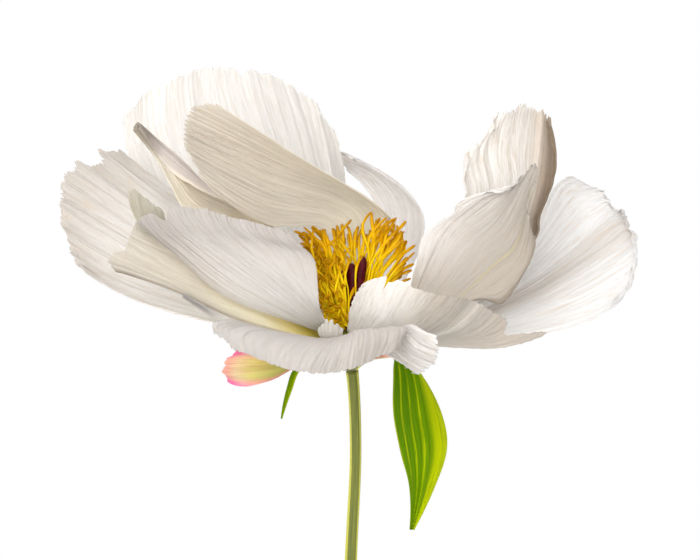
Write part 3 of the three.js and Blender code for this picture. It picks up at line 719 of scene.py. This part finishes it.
blade(
    "petal_5_front_right", side_painted_shade, "petal_front_right",
    claw=(332, 5.7, -0.9, 1.5), notches=[(-0.7, 0.13, 0.014), (-0.65, 0.05, 0.04), (0.82, 0.12, 0.08)],
    pleats=CALM, fringe=0.01, seed=15,
    rows=[
        [
            (-0.4, -6.5, 2.4), (3, -9.5, 2.2), (5.2, -11, 1.4), (7, -11.5, 0.6),
            (8.4, -11, -0.1), (9.8, -10, -0.6), (11.4, -7.5, -0.6),
        ],
        [
            (-0.5, -10, 6.5), (4.8, -16, 6), (9, -19, 4.4), (12.6, -20, 2.9),
            (15.5, -20.5, 1.8), (18.5, -18.5, 0.8), (20, -14.5, 0.4),
        ],
        [
            (0, -15, 11), (7, -22, 10.5), (13, -25, 8), (18.3, -26.5, 6),
            (23.2, -28, 5.2), (27.5, -25.5, 4), (31, -21, 0.6),
        ],
        [
            (1.6, -20, 15.5), (9.2, -26, 15.8), (16.6, -29, 12.6), (23.8, -30.5, 10.5),
            (29.5, -32.5, 8.8), (35.5, -30, 6), (43, -25, 1.6),
        ],
        [
            (3.4, -23, 18.6), (11.3, -28.5, 21.2), (20.2, -31.5, 17.7), (29, -33, 16.6),
            (34.9, -34, 15), (41.6, -33, 11), (54.2, -22, 5),
        ],
    ],
)
blade(
    "petal_6_front", front_painted_shade, "petal_front",
    claw=(264, 6.4, -3.2, 2), ruffle=(0.6, 5, 0), pleats=CALM, fringe=0.012, seed=16,
    grooves=[(-0.93, 1.1, 0.03), (-0.85, 0.9, 0.025), (-0.77, 0.7, 0.02)],
    rows=[
        [(-12, -15.5, 1.2), (-8, -20, 2.4), (-3, -22, 3.4), (1.1, -21, 4.7), (6.8, -20.5, 4.6)],
        [(-32, -38, 11), (-23, -47, 8.9), (-8, -52, 5.9), (3, -49, 8.8), (14.9, -41, 9.2)],
        [(-36, -43, 8), (-26, -55, 4), (-12, -66, 1.5), (1.5, -62, 2), (12.6, -50, 6.5)],
    ],
)
blade(
    "petal_6_rolled_end", front_painted_shade, "petal_front",
    claw=[(-31.5, -36, 10.6), (-31.5, -38, 9.5), (-31, -39, 7.5)], pleats=[(2, 0.4), (5, 0.25)],
    seed=27, cells=(50, 40),
    rows=[
        [(-36, -36, 13), (-36.2, -37.4, 12), (-36, -37, 10.8)],
        [(-40, -36.5, 15.2), (-40.3, -37.4, 14.6), (-40, -37, 13.8)],
        [(-44.5, -36.5, 17.6), (-44.7, -37, 17.3), (-44.6, -37, 17)],
    ],
)
blade(
    "petal_7_front_flap", thin_white, "petal_front_flap",
    claw=(289, 6.2, -4.6, 1.1), corner=0.06, power=3, ruffle=(0.7, 3, 0.8), pleats=CRUMPLED, fringe=0.03,
    seed=17,
    rows=[
        [(4, -18, 0.6), (6.5, -18, 1), (8.5, -16, 0.4)],
        [(9.3, -38, 1.6), (13.1, -38, 5.9), (15.5, -36, 9.4)],
        [(13.7, -48, 0.4), (17, -51, 4.8), (19, -46, 9.9)],
        [(18.3, -55, -1.8), (22.6, -57, 3.5), (23.4, -50, 7.8)],
    ],
)
blade(
    "petal_8_front_left", bowl_cream, "petal_front_left",
    claw=(228, 5.8, -1.8, 1.9), pleats=CALM, fringe=0.01, seed=18,
    rows=[
        [(-18, -2, 11), (-18.5, -6, 7.5), (-17.5, -10, 4.7), (-15.7, -13, 3.4), (-13.5, -14, 2.5)],
        [(-33.5, -6, 24), (-35.5, -15, 19), (-35, -21, 14.7), (-33.5, -26, 12), (-31, -27, 9.5)],
        [(-48.5, -8, 32), (-52, -18, 28), (-52.5, -28, 23.5), (-49.5, -34, 20.5), (-45.5, -36, 18)],
        [(-58, -10, 35), (-60, -17, 32), (-61, -25, 28.5), (-65, -32, 27), (-62.5, -36, 23.5)],
    ],
)
blade(
    "petal_9_left", left_white, "petal_left",
    claw=(168, 6.3, -2.8, 2), ruffle=(1.2, 5, 0.4), fringe=0.012, seed=19,
    notches=[(-0.66, 0.05, 0.1), (-0.84, -0.02, 0.07), (-0.38, 0.02, 0.05), (-0.04, 0.012, 0.04)],
    pleats=[(7, 0.7), (12, 0.45), (21, 0.2), (33, 0.12)],
    rows=[
        [(-16.5, 10, 9.5), (-17.5, 8, 6), (-18.5, 4, 4), (-18.5, 0, 2), (-17, -4, 0.5)],
        [(-32, 22, 25.5), (-39, 17, 20), (-41, 10, 14), (-39.5, 2, 8.5), (-35.5, -6, 4.3)],
        [(-51, 32, 37.5), (-58.5, 27, 32.5), (-63.5, 19, 25.5), (-63, 8, 16), (-57.5, -2, 9.5)],
        [(-67, 38, 49.5), (-80, 35, 47), (-84, 26, 37), (-80.5, 15, 25), (-74.5, 5, 17)],
    ],
)
blade(
    "petal_10_inner_right", right_ivory, "petal_inner_right",
    claw=(10, 4.7, 0.6, 1.8), ruffle=(0.7, 3, 0.2), pleats=CALM, fringe=0.014, seed=20,
    bites=[(1, 0.7, 0.2, 0.05), (1, 0.91, 0.12, 0.04)], grooves=[(-0.28, 0.8, 0.1), (0.68, 1.2, 0.02)],
    rows=[
        [(21, -7, 7.5), (19.5, -4, 5.7), (17.7, -1, 5.2), (15.7, 2, 6.2), (14.7, 8, 7.3)],
        [(35.5, -5, 11.5), (32.5, 2, 11.3), (27.7, 8, 12.4), (23.4, 14, 17.3), (19, 18, 19)],
        [(42.7, -4, 10.5), (41.2, 6, 17), (38, 14, 22.5), (30.4, 20, 27.5), (21.2, 22, 26.6)],
        [(50, 0, 20.4), (48, 8, 23.3), (45, 15, 30), (40, 20, 35.3), (31, 20, 36.4)],
        [(52.4, 6, 27.5), (50.3, 10, 36.4), (52.8, 12, 48), (48.3, 15, 43), (43.5, 16, 39)],
    ],
)
blade(
    "petal_11_inner_back", inner_cream, "petal_inner_back",
    claw=(84, 4.7, 0.6, 1.8), corner=0.05, power=4, pleats=CALM, fringe=0.014, seed=21,
    rows=[
        [(8, 14, 13), (5, 18, 13), (1, 16, 13)],
        [(13, 20, 30), (4, 26, 33), (-7, 20, 28)],
        [(-17, 8, 52), (-22, 22, 45), (-25, 12, 31)],
        [(-42, 2, 68.5), (-47, 10, 58), (-44, 4, 47)],
    ],
)
blade(
    "petal_12_inner_back_left", curled_cream, "petal_inner_back_left",
    claw=(142, 4.9, 0.6, 1.8), pleats=CALM, fringe=0.01, seed=22,
    rows=[
        [(-11, 10, 17.5), (-11, 14, 17), (-14, 12, 15.5), (-15, 7, 13), (-13, 2, 10)],
        [(-29, 18, 33), (-28.5, 23, 34), (-31.5, 22, 32), (-34, 17, 30), (-34.5, 8, 27.5)],
        [(-42, 18, 39.5), (-40, 24, 39.6), (-42.5, 23, 38), (-44.5, 17, 36), (-46, 8, 34.5)],
        [(-51, 18.5, 45), (-47.5, 25, 46.8), (-48.5, 24, 45), (-50, 18.5, 43), (-51, 12, 42)],
        [(-55, 20.5, 49), (-54, 25, 52.2), (-54.7, 24.5, 51), (-55.5, 21.5, 50), (-55.5, 18, 49)],
        [(-60.5, 21.5, 57.5), (-61, 24, 58.5), (-61.5, 23, 58), (-61.5, 21, 57.5), (-61.5, 19, 56.5)],
    ],
)
blade(
    "petal_13_inner_left", inner_painted_shade, "petal_inner_left",
    claw=(206, 4.8, 0.8, 1.9), notches=[(-0.62, 0.12, 0.1), (0.93, 0.05, 0.04)], pleats=CALM,
    fringe=0.01, seed=23,
    rows=[
        [(-16.5, -12.5, 6.5), (-14, -12.5, 8.3), (-11.3, -12.5, 9.4), (-9.4, -12.5, 9.8), (-8, -12, 9)],
        [(-34, -24, 15.2), (-27.7, -25, 19.7), (-21.2, -23, 20.5), (-14.8, -19, 19.5), (-8.8, -14.5, 16.5)],
        [(-47.7, -25, 27), (-41.6, -29, 30.8), (-32, -27, 29.8), (-20.4, -21, 27.7), (-9.6, -16, 24.1)],
        [(-53.8, -23, 31.8), (-46.5, -28, 35), (-37.3, -28, 35.3), (-26, -22.5, 32.3), (-13, -17, 28.1)],
        [(-58, -20, 35.3), (-49.3, -26, 40.2), (-39.3, -26, 39.2), (-27.2, -21.5, 35.5), (-16.7, -18, 32.5)],
    ],
)
blade(
    "petal_13_folded_tip", tip_painted_shade, "petal_inner_left",
    claw=[(-57, -18, 32.9), (-54.7, -19, 31.9), (-52.4, -20, 31.2), (-50.2, -21, 30.5), (-48, -22, 30)],
    pleats=[(3, 0.3), (7, 0.2)], fringe=0.04, seed=26, cells=(40, 60),
    rows=[
        [(-58.4, -17, 35.3), (-56.4, -18, 34.9), (-54, -19, 34.4), (-52, -19.5, 33.6), (-49.7, -20, 32.6)],
        [(-60.2, -15, 39), (-58, -16, 38.8), (-55.6, -17, 38.1), (-53, -18, 37.1), (-50.4, -18, 35.7)],
        [(-61, -12, 42.6), (-59, -13, 43.6), (-56.6, -15, 41.8), (-54, -16, 39.9), (-51, -17, 38.1)],
    ],
)
blade(
    "petal_14_lobe", lobe_white, "petaloid_lobe",
    claw=(254, 4.8, 0.8, 1.3), corner=0.1, power=2, pleats=[(5, 0.25)], seed=24, cells=(60, 80),
    notches=[(-0.5, 0.05, 0.1), (0.02, 0.06, 0.09), (0.48, 0.06, 0.09)],
    rows=[
        [(-7.8, -12.5, 2.2), (-5.2, -13.5, 1.8), (-2, -12.5, 2)],
        [(-8.2, -12.5, 5.6), (-5.8, -14, 7.6), (-1.8, -12.5, 5.4)],
    ],
)


# ----------------------------------------------------------------------------
# Calyx: three short sepals pressed under the petals, soft and thick, tinged pink along the edges
# and yellow green in the middle.
def striped(name, across, along, streak, count, through, roughness, gloss=0.3):
    """Leafy finish: across and along are colour ramps over v and u that are blended half and
    half, and streak darkens count fine lines that run lengthwise."""
    made, tree = new_material(name)
    way = shape_map(tree)
    parts = axes(tree, way)
    lines = streaks(tree, way, (4, count), 4.0, Roughness=0.6)
    wander = maths(tree, "MULTIPLY", maths(tree, "SUBTRACT", lines, 0.5), 0.16)
    sideways = ramp(tree, maths(tree, "ADD", parts["Y"], wander), across)
    lengthwise = ramp(tree, maths(tree, "ADD", parts["X"], wander), along)
    dark = maths(tree, "MULTIPLY", maths(tree, "GREATER_THAN", lines, 0.56), 0.3)
    colour = tinted(tree, dark, tinted(tree, 0.5, sideways, lengthwise), (*streak, 1))
    rough = relief(tree, lines, 0.5, 0.0004)
    thin_tissue(tree, colour, rough, through, Roughness=roughness, Specular_IOR_Level=gloss)
    return made


PINK = (0.9, 0.2, 0.42)
ROSE = (0.88, 0.62, 0.5)
MAGENTA = (0.75, 0.02, 0.28)
STRAW = (0.78, 0.66, 0.24)
OLIVE = (0.40, 0.40, 0.08)
RUSSET = (0.45, 0.16, 0.06)
sepal_blush = striped(
    "sepal_blush", streak=RUSSET, count=40, through=0.3, roughness=0.55,
    across=[(0.0, PINK), (0.1, PINK), (0.24, STRAW), (0.7, OLIVE), (0.86, MAGENTA), (1.0, MAGENTA)],
    along=[(0.0, OLIVE), (0.5, OLIVE), (0.64, STRAW), (0.76, ROSE), (0.88, PINK), (1.0, PINK)],
)
SEPAL_WAVES = [(3, 0.35), (7, 0.15), (15, 0.06)]

blade(
    "sepal_1_left", sepal_blush, "sepal_left",
    claw=(194, 6, -5.6, 1.6), corner=0.12, power=3, pleats=SEPAL_WAVES, fringe=0.02, seed=31,
    half_thickness=0.3, cells=(50, 50),
    rows=[
        [(-14, -4, -3.4), (-14, -8, -4.8), (-14, -8, -6.6)],
        [(-20, -6, -2.8), (-21, -13, -6.8), (-22, -8, -10.6)],
        [(-29, -7, -2), (-31, -15, -7), (-29, -8, -12.4)],
        [(-33, -8, -3.4), (-35, -11, -7), (-33.5, -8, -11)],
    ],
)
blade(
    "sepal_2_right", sepal_blush, "sepal_right",
    claw=(340, 6, -5.6, 1.6), corner=0.14, power=3, pleats=SEPAL_WAVES, fringe=0.02, seed=32,
    half_thickness=0.3, cells=(40, 40),
    rows=[
        [(9, -4.5, -4.3), (10, -1.5, -5), (10, 2, -4.8)],
        [(14, -6, -3.4), (16, 0, -4.4), (14, 6, -4.2)],
    ],
)
blade(
    "sepal_3_back", sepal_blush, "sepal_back",
    claw=(95, 6, -5.6, 1.7), corner=0.14, power=3, pleats=SEPAL_WAVES, fringe=0.02, seed=33,
    half_thickness=0.3, cells=(40, 40),
    rows=[
        [(4.5, 12, -5.4), (-1, 13, -6), (-6, 12, -5.4)],
        [(6, 20, -2), (-1, 22, -3.6), (-9, 20, -2)],
    ],
)


# ----------------------------------------------------------------------------
# Leafy bracts: a narrow one that droops on the left, and one leaf that hangs down on the right.
# The leaf is thin and backlit, dark green towards the stem and bright yellow green beyond the
# midrib, with sunken veins that run lengthwise and meet at the tip.
DARK_GREEN = (0.11, 0.24, 0.0)
MID_GREEN = (0.19, 0.33, 0.0)
BRIGHT_GREEN = (0.80, 0.80, 0.0)
leaf_green = striped(
    "leaf_green", streak=(0.06, 0.14, 0.0), count=30, through=0.5, roughness=0.5, gloss=0.05,
    across=[
        (0.0, BRIGHT_GREEN), (0.05, DARK_GREEN), (0.16, DARK_GREEN), (0.18, BRIGHT_GREEN), (0.21, DARK_GREEN),
        (0.34, DARK_GREEN), (0.36, BRIGHT_GREEN), (0.39, DARK_GREEN), (0.52, MID_GREEN),
        (0.545, BRIGHT_GREEN), (0.57, MID_GREEN), (0.68, MID_GREEN), (0.8, BRIGHT_GREEN), (1.0, BRIGHT_GREEN),
    ],
    along=[(0.0, DARK_GREEN), (0.4, DARK_GREEN), (1.0, MID_GREEN)],
)
LEAF_VEINS = [(-0.74, 0.2, 0.05), (-0.4, 0.28, 0.05), (0.0, 0.5, 0.07), (0.36, 0.28, 0.05), (0.7, 0.2, 0.05)]

blade(
    "bract_1_narrow", leaf_green, "bract_narrow",
    claw=(228, 6, -5.6, 0.9), corner=0.0, power=2, pleats=[(3, 0.08)], seed=34,
    half_thickness=0.25, cells=(50, 16),
    rows=[
        [(-10, -8, -5.2), (-9.8, -9.2, -5.2), (-8.8, -10, -5.2)],
        [(-15.4, -10.2, -7), (-14.6, -10.8, -7.1), (-13.8, -10.8, -7.4)],
        [(-17.6, -11.6, -12.7), (-17, -12.1, -13), (-16.3, -11.9, -13.3)],
        [(-19.1, -12, -20.7), (-19, -12.1, -20.8), (-18.9, -12, -20.8)],
    ],
)
blade(
    "bract_2_leaf", leaf_green, "leaf",
    claw=(311, 6, -5.6, 1), corner=0.0, power=2, ruffle=(0.4, 3, 0), pleats=[(5, 0.12), (11, 0.05)], seed=35,
    half_thickness=0.18, cells=(110, 100), grooves=LEAF_VEINS,
    rows=[
        [(11.5, -10, -2.6), (12.5, -10.8, -2.2), (14, -9.6, -2.6)],
        [(12, -11, -8), (16.5, -14, -6.5), (20.5, -11, -9.5)],
        [(12, -12, -19), (18.5, -16, -18), (25.5, -11, -19.5)],
        [(14, -13, -30), (20, -16, -29.5), (27, -11, -29.5)],
        [(16.5, -13, -40), (19.5, -15, -40), (23.5, -12, -40.5)],
        [(16.6, -13, -52), (17.2, -13.3, -52), (17.8, -13, -52)],
    ],
)


# ----------------------------------------------------------------------------
# Carpels: four soft, velvety flasks, deep crimson, that grow from a small pad in the middle of
# the bloom. Each widens upwards and ends in a blunt, rounded top.
CARPEL_FOOT = 2.7
CARPEL_TIPS = np.array([(3.8, 0.2, 23), (0.9, -1.1, 19.5), (-2, 0.2, 19), (0.5, 1.4, 21)])
CARPEL_RADII = [0.8, 1.1, 1.3, 1.5, 1.5, 1.35]
ROUNDED_END = 0.12
PAD = [(0, CARPEL_FOOT), (2, CARPEL_FOOT), (2, 3.9), (1.2, 4.3), (0, 4.3)]
CRIMSONS = [(0.35, (0.035, 0.0005, 0.003)), (0.75, (0.11, 0.002, 0.01))]

crimson, tree = new_material("carpel_crimson")
down = noise(tree, tree.nodes.new("ShaderNodeTexCoord").outputs["Object"], 1400.0, 3.0)
velvet = finish(
    tree, ramp(tree, down, CRIMSONS), relief(tree, down, 0.6, 0.0002), Roughness=0.5, Specular_IOR_Level=0.15,
)
show(tree, velvet.outputs[0])

t = np.linspace(0, 1, 40)
start = np.array([0, 0, CARPEL_FOOT + 0.4])
carpel_path = start + (CARPEL_TIPS[:, None] * [1, 1, 0]) * (0.2 + 0.8 * t[:, None])
carpel_path = carpel_path + [0, 0, 1] * (CARPEL_TIPS[:, None, 2:] - start[2]) * t[:, None]
rounded = np.sqrt(1 - 0.96 * np.clip((t - 1 + ROUNDED_END) / ROUNDED_END, 0, 1)**2)
carpel_radii = rounded * spline(CARPEL_RADII, t * (len(CARPEL_RADII) - 1))
carpel_radii = np.repeat(carpel_radii[None], len(CARPEL_TIPS), 0)
around = np.linspace(0, 2 * np.pi, 19)[:-1]
seam = np.repeat((1 - 0.1 * np.cos(around / 2)[None]**16 + 0 * t[:, None])[None], len(CARPEL_TIPS), 0)
flasks = swept(carpel_path, carpel_radii, seam) + [0, 0, BLOOM_Z]
capped_tubes("carpel_flasks", flasks, crimson, "carpels")
turned("carpel_pad", np.add(PAD, [0, BLOOM_Z]), 32, crimson, "carpels")


# ----------------------------------------------------------------------------
# Stamens: a dense crown of golden filaments, curled and tangled, that grow from a ring round the
# carpels. Each ends in a flat, twisted anther of a browner orange. Shorter ones crowd the left,
# a tuft leans to the right, and only a few stand in front of the carpels.
RING_FOOT = 2.7
LONG_FILAMENTS = 120
LEFT_FILAMENTS = 150
RIGHT_FILAMENTS = 22
GOLDEN_ANGLE = math.pi * (3 - math.sqrt(5))

POLLEN = [
    (0.0, (1.0, 0.74, 0.004)), (0.55, (1.0, 0.82, 0.01)), (0.7, (0.86, 0.55, 0.003)),
    (0.92, (0.54, 0.27, 0.001)),
]

gold, tree = new_material("stamen_gold")
way = shape_map(tree)
dust = streaks(tree, way, (14, 3.7), 3.0)
dusty = maths(tree, "MULTIPLY", maths(tree, "SUBTRACT", dust, 0.5), 0.3)
pollen = ramp(tree, maths(tree, "ADD", axes(tree, way)["X"], dusty), POLLEN)
waxy = finish(tree, pollen, relief(tree, dust, 0.5, 0.0003), Roughness=0.5, Specular_IOR_Level=0.12)
show(tree, blended(tree, 0.45, waxy, add_node(tree, "ShaderNodeBsdfTranslucent", Color=pollen)))


def spread_numbers(count, state=20260.0):
    """The part's own random numbers: each is 1103515245 times the last plus 12345, modulo 2^31."""
    drawn = []
    for _ in range(count):
        state = math.fmod(state * 1103515245.0 + 12345.0, 2147483648.0)
        drawn.append(state / 2147483648.0)
    return np.array(drawn)


STATIONS = np.array([0, 0.1, 0.2, 0.32, 0.44, 0.55, 0.65, 0.74, 0.82, 0.89, 0.95, 0.985, 1])
FILAMENT_RADIUS = 0.26
ANTHER_SWELL = 0.19
FRONT_TIPS = np.array([
    (-0.8, -6, 24), (2.2, -6, 24.5), (-0.2, -6.5, 15.5), (3.2, -5.5, 17), (-2.8, -6.2, 21),
])


def filament_rings(roots, tips, sways, curl, rng):
    """Rings of filaments that rise from roots to tips and spread outwards as t^1.4, bowed by
    sways; curl is the largest side swing of their upper halves, in mm. Blunt ends hook over."""
    count = len(roots)
    t = STATIONS[None, :, None]
    spread = np.concatenate([t**1.4, t**1.4, t], -1)
    path = roots[:, None] + (tips - roots)[:, None] * spread
    phase = rng.uniform(0, 2 * np.pi, (count, 1, 2))
    swing = np.clip(t - 0.35, 0, 1) * curl * rng.uniform(0.3, 1.6, (count, 1, 1))
    swing = swing * np.sin(rng.uniform(5, 12, (count, 1, 1)) * t + phase)
    hook = np.clip(5 * t - 4, 0, 1)**2
    path[..., :2] += sways[:, None] * np.sin(np.pi * t) + swing + hook * rng.uniform(-1.3, 1.3, (count, 1, 2))
    path[..., 2:] += BLOOM_Z - hook * rng.uniform(0, 1, (count, 1, 1))
    anther = np.clip((STATIONS - 0.7) * 8, 0, 1)
    blunt = np.interp(STATIONS, [0.95, 0.985, 1], [1, 0.85, 0.4])
    radii = (FILAMENT_RADIUS + ANTHER_SWELL * anther) * blunt * rng.uniform(0.85, 1.12, (count, 1))
    around = np.linspace(0, 2 * np.pi, 6)[:-1]
    twist = phase[..., :1] + 3 * t
    flatness = 1 + (0.1 + 0.15 * anther[:, None]) * np.cos(2 * (around + twist))
    return swept(path, radii, flatness)


drawn = spread_numbers(4 * LONG_FILAMENTS).reshape(LONG_FILAMENTS, 4)
rng = np.random.default_rng(41)
turns = np.arange(LONG_FILAMENTS) * GOLDEN_ANGLE
rank = np.sqrt((np.arange(LONG_FILAMENTS) + 0.5) / LONG_FILAMENTS)
lean = 0.35 + 0.65 * rank * (0.85 + 0.3 * drawn[:, 0])
heights = 33 - 6 * lean**4 + 4 * (drawn[:, 1] - 0.5) + 1.5 * np.cos(turns)
circle = np.stack([np.cos(turns), np.sin(turns)], -1)
long_roots = np.concatenate([(2.9 + rank)[:, None] * circle, 0 * rank[:, None] + RING_FOOT + 0.8], -1)
long_tips = np.concatenate([np.stack([4.5 + 11 * lean, 5 + 5.5 * lean], -1) * circle, heights[:, None]], -1)
kept = np.abs(np.mod(turns - math.radians(282) + np.pi, 2 * np.pi) - np.pi) > math.radians(42)

heights = rng.uniform(4, 28, (LEFT_FILAMENTS, 1))
low_turns = rng.normal(240, 34, LEFT_FILAMENTS)
high_turns = np.minimum(rng.normal(214, 32, LEFT_FILAMENTS), 247)
turns = np.radians(np.where(heights[:, 0] < 9, low_turns, high_turns))
circle = np.stack([np.cos(turns), np.sin(turns)], -1)
left_roots = np.concatenate([4.1 * circle, rng.uniform(2.9, 4.2, (LEFT_FILAMENTS, 1))], -1)
left_reach = rng.uniform(5.4, 9, (LEFT_FILAMENTS, 1)) + 0.1 * heights
left_tips = np.concatenate([left_reach * circle * [1, 0.85], heights], -1)

share = np.linspace(0, 1, RIGHT_FILAMENTS)[:, None]
right_roots = [rng.uniform(2, 4, share.shape), rng.uniform(-3.4, 2, share.shape), 0 * share + 3.4]
right_roots = np.concatenate(right_roots, -1)
right_tips = np.concatenate([11 + 6 * share**0.7, rng.uniform(-3, 4, share.shape), 14 + 12 * share], -1)
right_tips = right_tips + rng.normal(0, 0.8, right_tips.shape)

front_roots = FRONT_TIPS * [0.6, 0, 0] + [0, -4, 3.4]
rings = np.concatenate([
    filament_rings(long_roots[kept], long_tips[kept], (drawn[kept, 2:] - 0.5) * 2, 3.6, rng),
    filament_rings(left_roots, left_tips, rng.uniform(-1.2, 1.2, (LEFT_FILAMENTS, 2)), 2.6, rng),
    filament_rings(right_roots, right_tips, rng.uniform(-0.6, 0.6, (RIGHT_FILAMENTS, 2)), 1.2, rng),
    filament_rings(front_roots, FRONT_TIPS, 0 * FRONT_TIPS[:, :2], 1.2, rng),
])
capped_tubes("stamen_crown", rings, gold, "stamens")
